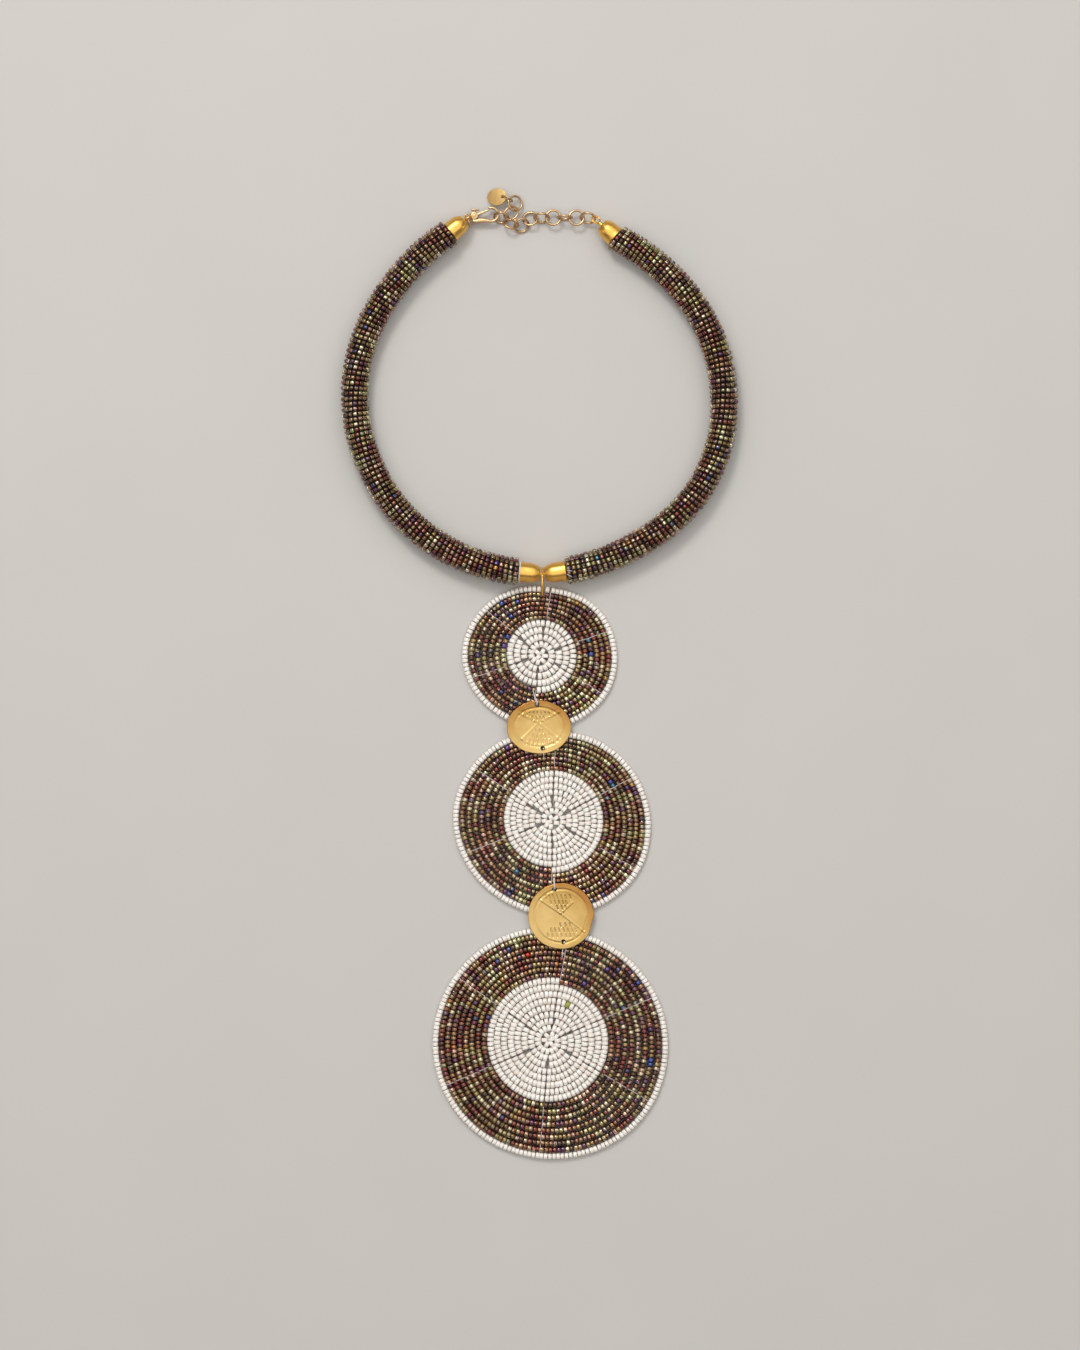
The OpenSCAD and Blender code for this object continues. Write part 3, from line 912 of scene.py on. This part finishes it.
# Spoke threads: their radius among the brown and the white beads, then their heights there
thread_r, inner_thread_r = 0.12, 0.15
over_white, under_white, between_whites = 1.85, 0.5, 1.6
over_brown, low_brown = 2.14, 1.85
white_beads = (pearl, thread, "white_beads")
for number, disc in enumerate(disc_rows, 1):
    white_rows, band_rows = disc["white_rows"], disc["band_rows"]
    white_pitch = disc["white_r"] / white_rows
    white_bead = dict(disc_bead, diameter=min(2.44, 1.06 * white_pitch), length=1.5)
    for part, rows, bead, seed, kind in (
        ("centre", white_rows, white_bead, 20, white_beads),
        ("band", band_rows, disc_bead, 30, brown_beads), ("rim", 1, rim_bead, 40, white_beads),
    ):
        paths = [path for k in range(1, rows + 1) for path in row_paths(disc, part, k, bead)]
        string_beads("disc_%d_%s" % (number, part), paths, bead, seed + number, kind)

    # Spoke threads: over one row, under the next, with a little slack
    rng = random.Random(50 + number)
    shapes, painted_shade_shapes = [], []
    order = sorted(disc["spokes"], key=lambda s: (s - disc["colour_step"]) % 360)
    for place, spoke in enumerate(order):
        radii = [row_r(disc, "centre", k, spoke) for k in range(2, white_rows + 1)]
        radii += [row_r(disc, "band", k, spoke) for k in range(1, band_rows + 1)]
        path = [disc_point(disc, spoke, 0.9, 1.2)]
        for i, r in enumerate(radii):
            white = i < white_rows - 1
            if white:
                height = over_white if seam_open(i + 2, place) else under_white
            else:
                height = over_brown if (i + number) % 2 == 0 else low_brown
            wander = degrees(rng.uniform(-0.12, 0.12) / r)
            path.append(disc_point(disc, spoke + wander, r, height + rng.uniform(-0.08, 0.06)))
            if white:
                wander = degrees(rng.uniform(-0.3, 0.3) / r)
                path.append(disc_point(disc, spoke + wander, r + white_pitch / 2, between_whites))
        path.append(disc_point(disc, spoke, edge_r(disc, spoke) - 1.0, 1.0))
        # Inside the white centre the spoke takes the darker copy of the thread, painted shade
        # between the white beads
        inner = 2 * white_rows
        painted_shade_shapes.append(sweep(rounded(path[:inner], 4), inner_thread_r, 6))
        shapes.append(sweep(rounded(path[inner - 1:], 4), thread_r, 6))
    for label, found, finish in (("outer", shapes, thread), ("inner", painted_shade_shapes, painted_shade_thread)):
        ties = to_piece("disc_%d_%s_spoke_threads" % (number, label), *joined(*found), finish)
        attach(ties, "root")

# ----------------------------------------
# Medallions: one oval, one round.
# Thin brass sheet, stamped with a border groove, a cross of two lines and rows of short strokes,
# then gilded and left satin. Each is sewn over the joint of two discs through its two holes.

satin_gold = new_finish("satin_gold_stamping")
brushed = grain(satin_gold, 0.5, 4.0)
# The ramp mixes the plating's own grain with the painted sheen that each medallion carries: paler
# where the plate is painted as lit
surface(
    satin_gold,
    Base_Color=satin_gold.add(
        "ShaderNodeValToRGB",
        {"stops": [
            (0.0, (0.40, 0.19, 0.05)), (0.45, (0.52, 0.335, 0.11)), (1.0, (0.66, 0.47, 0.20))
        ]},
        {"Fac": carried(satin_gold, "gleam") + 0.7 * grain(satin_gold, 4.0, 3.0) - 0.35},
    )["Color"],
    Metallic=1.0,
    Roughness=0.24 + 0.16 * brushed,
    Normal=bump(satin_gold, brushed, 0.025),
)

plate_room, sheet_t = 0.6, 0.42


def to_segment(x, y, line):
    """Distance from a point to a stroke."""
    x0, y0, x1, y1 = line
    dx, dy = x1 - x0, y1 - y0
    t = max(0.0, min(1.0, ((x - x0) * dx + (y - y0) * dy) / (dx * dx + dy * dy)))
    return hypot(x - x0 - t * dx, y - y0 - t * dy)


def plate(outline, under, height, rings, sectors, edge_round):
    """A plate on a polar grid: outline(q) is its radius, under(x, y) and height(x, y, rim) its
    lower and upper faces."""
    points = [[0, 0, height(0, 0, outline(0))]]
    levels = [("top", (i + 1) / rings) for i in range(rings)]
    levels += [("round", 22.5 * k) for k in range(1, 5)]
    levels += [("low_round", 0), ("low_round", 1), ("bottom", 0.6), ("bottom", 0.2)]
    for level, s in levels:
        for j in range(sectors):
            q = 2 * pi * j / sectors
            full = outline(q)
            inner = full - edge_round
            c, w = cos(q), sin(q)
            if level == "top":
                r = inner * s
                z = height(r * c, r * w, full - r)
            elif level == "round":
                e = radians(s)
                r = inner + edge_round * sin(e)
                z = height(inner * c, inner * w, edge_round) - edge_round * (1 - cos(e))
            elif level == "low_round":
                r = full - 0.08 * s
                z = under(r * c, r * w) + 0.08 * (1 - s)
            else:
                r = full * s
                z = under(r * c, r * w)
            points.append([r * c, r * w, z])
    around = [(j, (j + 1) % sectors) for j in range(sectors)]
    faces = [[0, 1 + j, 1 + j1] for j, j1 in around]
    for a in range(1, 1 + (len(levels) - 1) * sectors, sectors):
        b = a + sectors
        faces += [[a + j, b + j, b + j1, a + j1] for j, j1 in around]
    faces.append([b + j for j in range(sectors)][::-1])
    return points, faces


def pierced(obj, holes, radius, bottom, top):
    """Drills round holes through a plate."""
    shapes = [sweep([[x, y, bottom - 2], [x, y, top + 2]], radius, 32) for x, y in holes]
    drill = to_piece("drill", *joined(*shapes))
    cut = obj.modifiers.new("drilled", "BOOLEAN")
    cut.object, cut.operation, cut.solver = drill, "DIFFERENCE", "EXACT"
    applied(obj)
    bpy.data.objects.remove(drill)
    obj.data.set_sharp_from_angle(angle=radians(50))


# Groove: distance from the rim, width, depth. Mark and ridge: depth or height, width. Flat: the
# side that is cut straight, as an angle and a distance. Lines: two ends each, for the cross.
# Strokes: the height of a row, the places of its strokes, their length and lean
# Lit side: the way towards which the plating is painted paler, as painted sheen
medallions = {
    "medallion_1": {
        "at": (0.0, -18.3), "size": (22.1, 18.3), "flat": None, "dish": 0.6,
        "groove": (2.4, 0.4, 0.11), "mark": (0.13, 0.27), "ridge": (0.08, 0.36),
        "pale_side": (0, -1), "holes": [(-0.7, 7.9), (1.3, -7.3)],
        "lines": [(-6.6, 4.8, -0.4, 1.7), (7.2, 5.5, 1.2, 2.2), (-0.6, 1.1, -5.9, -4.1),
                  (0.6, 1.1, 6.9, -4.2)],
        "strokes": [(4.5, (-4.4, -3.1, -1.8, -0.5, 0.8, 2.1, 3.4), 0.9, 0.2),
                    (3.1, (-2.1, -0.9, 0.4, 1.6), 0.9, 0.2),
                    (-1.5, (-1.0, 0.2, 1.4), 0.9, 0.1),
                    (-3.1, (-1.9, -0.6, 0.8, 2.1, 3.3), 1.2, 0.1),
                    (-5.0, (-4.4, -3.0, -1.6, -0.2, 1.2, 2.6, 4.0, 5.2), 1.3, 0.1)],
    },
    "medallion_2": {
        "at": (7.6, -83.3), "size": (22.7, 22.7), "flat": (-14.7, 10.9), "dish": 0.4,
        "groove": (2.1, 0.36, 0.12), "mark": (0.17, 0.21), "ridge": (0.10, 0.30),
        "pale_side": (-0.7, -0.7), "holes": [(-2.3, 9.2), (0.8, -8.9)],
        "lines": [(-6.9, 5.4, -0.1, 0.9), (-0.1, 0.9, 8.0, -5.4), (4.0, 4.8, 0.6, 1.5)],
        "strokes": [(6.5, (-5.2, -3.9, -2.7, -1.3, 0.1, 1.6, 3.1), 1.2, 0.4),
                    (4.7, (-3.5, -2.1, -0.7, 0.6, 1.8), 1.2, 0.35),
                    (2.9, (-1.3, 0.3, 1.6), 1.2, 0.45),
                    (-3.1, (-0.2, 1.6, 3.1), 1.2, 0.4),
                    (-4.9, (-3.3, -2.0, -0.6, 1.0, 2.4, 3.8, 5.0), 1.3, 0.45),
                    (-6.7, (-4.4, -2.9, -1.4, 0.2, 1.7, 3.1, 4.5), 1.2, 0.4)],
    },
}
for name, look in medallions.items():
    width, tall = look["size"]
    bottom = bead_d + 0.12

    def outline(q):
        r = 1 / hypot(2 * cos(q) / width, 2 * sin(q) / tall)
        if look["flat"]:
            toward, distance = look["flat"]
            facing = cos(q - radians(toward))
            if facing > 0.5:
                r = min(r, distance / facing)
        return r + 0.03 * sin(5 * q + 1) + 0.025 * sin(9 * q + 2)

    def under(x, y):
        return bottom + look["dish"] * ((2 * x / width) ** 2 + (2 * y / tall) ** 2)

    def height(x, y, rim):
        at, wide, deep = look["groove"]
        tall_by, soft_by = look["ridge"]
        deep_by, wide_by = look["mark"]
        z = under(x, y) + sheet_t - deep * exp(-((rim - at) / wide) ** 2)
        z += 0.5 * deep * exp(-((rim - at - 2 * wide) / wide) ** 2)
        z += 0.012 * sin(1.1 * x + 0.6 * y) * sin(0.9 * y - 0.5 * x + 1)
        for line in look["lines"]:
            d = to_segment(x, y, line)
            if d < 1.8:
                z += tall_by * exp(-(d / soft_by) ** 2)
                z -= 0.4 * tall_by * exp(-(d / soft_by - 2.2) ** 2)
        for line in marks:
            if abs(x - line[0]) < 1.1 and abs(y - (line[1] + line[3]) / 2) < 1.4:
                z -= deep_by * exp(-(to_segment(x, y, line) / wide_by) ** 2)
        return z

    marks = [
        (x - lean / 2, y + long / 2, x + lean / 2, y - long / 2)
        for y, row, long, lean in look["strokes"] for x in row
    ]
    points, faces = plate(outline, under, height, 78, 270, 0.22)
    medal = to_piece(name + "_stamped", points, faces, satin_gold)
    pierced(medal, look["holes"], 0.85, bottom, bottom + plate_room)
    # Painted sheen: the plating is painted paler in the middle and towards the lit side of the
    # plate, where it would catch the light, and redder outside the groove
    gleam = medal.data.attributes.new("gleam", "FLOAT", "POINT")
    lit_x, lit_y = look["pale_side"]
    border = 1 - 2 * look["groove"][0] / tall
    for i, vertex in enumerate(medal.data.vertices):
        x, y = 2 * vertex.co.x / width / MM, 2 * vertex.co.y / tall / MM
        r, side = hypot(x, y), x * lit_x + y * lit_y
        edge = max(0.0, min(1.0, (r - border + 0.03) / 0.06))
        gleam.data[i].value = 0.74 + 0.28 * side - 0.3 * r * r - edge * (0.14 - 0.12 * side)
    medal.data.transform(Matrix.Translation((look["at"][0] * MM, look["at"][1] * MM, 0)))
    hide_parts(name)
    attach(medal, "root")

# Sewing threads through the holes, down over the plate's edge and into the beads
sewing_lines = [
    [(-0.9, -10.9, 1.8), (-0.85, -10.5, 2.9), (-0.9, -9.9, 3.35), (-1.1, -9.1, 3.45),
     (-1.4, -8.5, 2.8), (-1.6, -7.4, 2.3), (-2.1, -5.5, 1.7)],
    [(-0.5, -10.8, 1.8), (-0.4, -10.4, 2.9), (-0.55, -9.8, 3.35), (-0.8, -9.0, 3.4),
     (-1.2, -8.3, 2.6), (-1.7, -7.0, 2.1), (-1.9, -5.7, 1.6)],
    [(1.35, -26.2, 2.0), (1.4, -26.5, 3.1), (1.45, -27.0, 3.4), (1.55, -27.6, 3.3),
     (1.65, -28.3, 2.5), (1.7, -29.4, 1.7)],
    [(5.1, -74.5, 1.8), (5.15, -73.9, 2.9), (5.15, -73.2, 3.2), (5.15, -72.2, 3.25),
     (5.1, -71.6, 2.6), (5.0, -70.4, 1.7)],
    [(5.5, -74.4, 1.8), (5.5, -73.8, 2.9), (5.4, -73.1, 3.2), (5.35, -72.1, 3.2),
     (5.3, -71.4, 2.5), (5.3, -70.2, 1.6)],
    [(8.1, -94.3, 1.4), (8.1, -94.9, 2.25), (8.05, -96.4, 2.25), (8.0, -97.8, 1.6)],
]
sewn = to_piece(
    "medallion_threads",
    *joined(*[sweep(rounded(line, 5), 0.17, 8) for line in sewing_lines]), thread,
)
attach(sewn, "root")

# ----------------------------------------
# Back chain, tag and clasp.
# Round links of brass wire, each closed on the next, plated in pale gold. A plain stamped oval
# hangs on the last one, and a cast lobster clasp with a sprung lever hooks into the chain.

pale_gold = new_finish("pale_gold_plate")
rubbed = grain(pale_gold, 0.9, 4.0)
surface(
    pale_gold,
    Base_Color=blend(pale_gold, grain(pale_gold, 3.0), (0.52, 0.33, 0.16), (0.64, 0.44, 0.25)),
    Metallic=1.0,
    Roughness=0.22 + 0.14 * rubbed,
    Normal=bump(pale_gold, rubbed, 0.012),
)

rubbed_gold = new_finish("rubbed_pale_gold_plate")
surface(
    rubbed_gold,
    Base_Color=blend(
        rubbed_gold, grain(rubbed_gold, 2.0, 3.0), (0.61, 0.39, 0.145), (0.71, 0.50, 0.21)
    ),
    Metallic=1.0,
    Roughness=0.36 + 0.14 * grain(rubbed_gold, 0.6, 3.0),
)

link_d, link_wire = 5.8, 0.8
# Columns: middle, roll, turn
links = [
    ((16.8, 156.8, 3.9), 55, -10), ((12.9, 157.0, 3.3), -5, -5), ((8.9, 157.1, 2.9), 85, 0),
    ((4.9, 157.1, 2.8), -5, 0), ((0.9, 157.0, 2.6), 60, 0), ((-3.0, 156.8, 2.0), -25, 20),
    ((-6.0, 154.5, 1.9), 35, 20), ((-9.7, 155.15, 2.2), -45, -20),
    ((-12.95, 157.15, 2.5), 52, -15), ((-9.6, 158.5, 3.5), -30, 40),
    ((-8.2, 162.0, 2.7), 25, 95),
]
rings = [("link_%d" % number, *link, link_d, link_wire) for number, link in enumerate(links, 1)]
rings += [
    ("tag_ring", (-10.8, 163.5, 3.0), 80, -25, 4.2, 0.6),
    ("clasp_ring", (-24.15, 155.6, 3.1), 90, -70, 4.7, 0.7),
]
# Each ring is cut at another place
for number, (name, place, roll, turn, outer, wire) in enumerate(rings):
    shape = wire_ring(outer, wire, 14, 64, cut_at=47 + 61 * number)
    ring = to_piece(
        name + "_wire", *moved(shape, at_place(place, roll, turn)), pale_gold, sharp=50
    )
    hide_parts(name)
    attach(ring, "root")

tag_a, tag_b, tag_hole = 3.5, 2.95, 2.3
points, faces = plate(
    lambda q: 1 / hypot(cos(q) / tag_a, sin(q) / tag_b) + 0.02 * sin(4 * q),
    lambda x, y: -0.25 - 0.1 * ((x / tag_a) ** 2 + (y / tag_b) ** 2),
    lambda x, y, rim: 0.25 - 0.16 * ((x / tag_a) ** 2 + (y / tag_b) ** 2)
    + 0.008 * sin(2.1 * x + 1.3 * y) * sin(1.7 * y - 0.9 * x),
    16, 72, 0.12,
)
tag = to_piece("tag_stamped", points, faces, rubbed_gold)
pierced(tag, [(tag_hole, 0)], 0.6, -0.25, 0.25)
# It hangs on its ring by the hole and leans a little
tag.data.transform(
    Matrix.Translation((-12.4 * MM, 164.3 * MM, 3.0 * MM))
    @ Matrix.Rotation(radians(-22), 4, "Y") @ Matrix.Translation((-tag_hole * MM, 0, 0))
)
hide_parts("tag")
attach(tag, "root")


def bar(stations):
    """A cast bar in the XY plane. Stations: x, y, width across, height; its section is a
    rounded box and its ends are domed."""
    path = rounded(stations, 4)
    rows = []
    for i, s in enumerate(path):
        a, b = path[max(0, i - 1)], path[min(len(path) - 1, i + 1)]
        rows.append((s.xy, (b.xy - a.xy).normalized(), s.z, s.w))

    def dome(at, way, wide, tall, sign):
        """Shrinking sections beyond an end."""
        small, found = min(wide, tall), []
        for step in (30, 55, 75, 88):
            lost = small * (1 - cos(radians(step)))
            out = 0.4 * small * sin(radians(step)) * sign
            found.append((at + way * out, way, max(0.1, wide - lost), max(0.1, tall - lost)))
        return found

    rows = dome(*rows[0], -1)[::-1] + rows + dome(*rows[-1], 1)
    points, sides = [], 20
    for at, way, wide, tall in rows:
        side = Vector((-way.y, way.x))
        for j in range(sides):
            q = 2 * pi * j / sides
            c, w = cos(q), sin(q)
            c = copysign(abs(c) ** 0.62, c) * wide / 2
            w = copysign(abs(w) ** 0.62, w) * tall / 2
            points.append([at.x + side.x * c, at.y + side.y * c, w])
    return points, tube_faces(len(rows), sides, False)


def turned(profile, closed, place=(0, 0, 0)):
    """The same as lathe, with its axis up."""
    shape = lathe(profile, 36, closed)
    return moved(shape, Matrix.Translation(place) @ Matrix.Rotation(radians(-90), 4, "Y"))


clasp_at = Matrix.Translation((-22.25, 157.7, 2.5))
hook = [
    (5.85 + 2.34 * cos(radians(q)), 0.45 + 2.34 * sin(radians(q)), wide, tall)
    for q, wide, tall in (
        (268, 1.05, 1.76), (290, 0.94, 1.72), (320, 0.9, 1.7), (350, 0.88, 1.68), (20, 0.88, 1.66),
        (50, 0.88, 1.64), (75, 0.88, 1.6), (106, 0.86, 1.54),
    )
]
cheek = [
    (0.49, 0.36), (0.49, 1.38), (0.62, 1.4), (0.76, 1.36), (0.86, 1.22), (0.9, 1.0), (0.9, 0.36),
]
# The body: spine and hook, two cheeks, the pin through them, the neck and the eye
clasp_shapes = [
    bar([(-0.5, -1.78, 1.22, 1.7), (0.8, -1.8, 1.3, 1.78), (2.0, -1.62, 1.62, 1.8),
         (3.4, -1.56, 1.66, 1.8), (4.7, -1.7, 1.34, 1.78)] + hook),
    turned(cheek, True),
    turned([(-x, r) for x, r in cheek[::-1]], True),
    turned([(-0.97, 0.2), (-0.95, 0.4), (-0.88, 0.5), (-0.8, 0.35), (0.8, 0.35), (0.88, 0.5),
            (0.95, 0.4), (0.97, 0.2)], False),
    bar([(-1.45, -0.95, 0.5, 1.1), (-1.45, 0.15, 0.5, 1.1)]),
    turned([(-0.32, 0.7), (-0.46, 0.78), (-0.5, 0.95), (-0.44, 1.12), (-0.25, 1.2), (0.25, 1.2),
            (0.44, 1.12), (0.5, 0.95), (0.46, 0.78), (0.32, 0.7)], True, (-2.4, -0.4, 0)),
]
# The lever: its hub on the pin, the arm to the hook's tip, the stem and the thumb tab
lever_shapes = [
    turned([(-0.3, 0.41), (-0.4, 0.5), (-0.4, 0.86), (-0.3, 0.98), (0.3, 0.98), (0.4, 0.86),
            (0.4, 0.5), (0.3, 0.41)], True),
    bar([(0.95, 0.40, 0.8, 0.78), (2.2, 0.93, 0.8, 0.78), (3.6, 1.53, 0.78, 0.78),
         (4.8, 2.04, 0.72, 0.74)]),
    bar([(0, 0.85, 1.1, 0.78), (0, 1.3, 1.0, 0.78), (0.05, 1.8, 1.1, 0.8)]),
    bar([(-0.9, 2.06, 0.56, 1.3), (0.2, 2.09, 0.6, 1.46), (1.5, 2.06, 0.54, 1.3)]),
]
for name, body, shapes in (
    ("clasp_body", "root", clasp_shapes), ("clasp_lever", "clasp_lever", lever_shapes)
):
    cast = to_piece(name + "_cast", *moved(joined(*shapes), clasp_at), pale_gold, sharp=50)
    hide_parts(name)
    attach(cast, body)

# ----------------------------------------
# The finished necklace: the helper points are taken away.

bpy.data.objects.remove(odd_beads)
bpy.data.objects.remove(bead_shape)
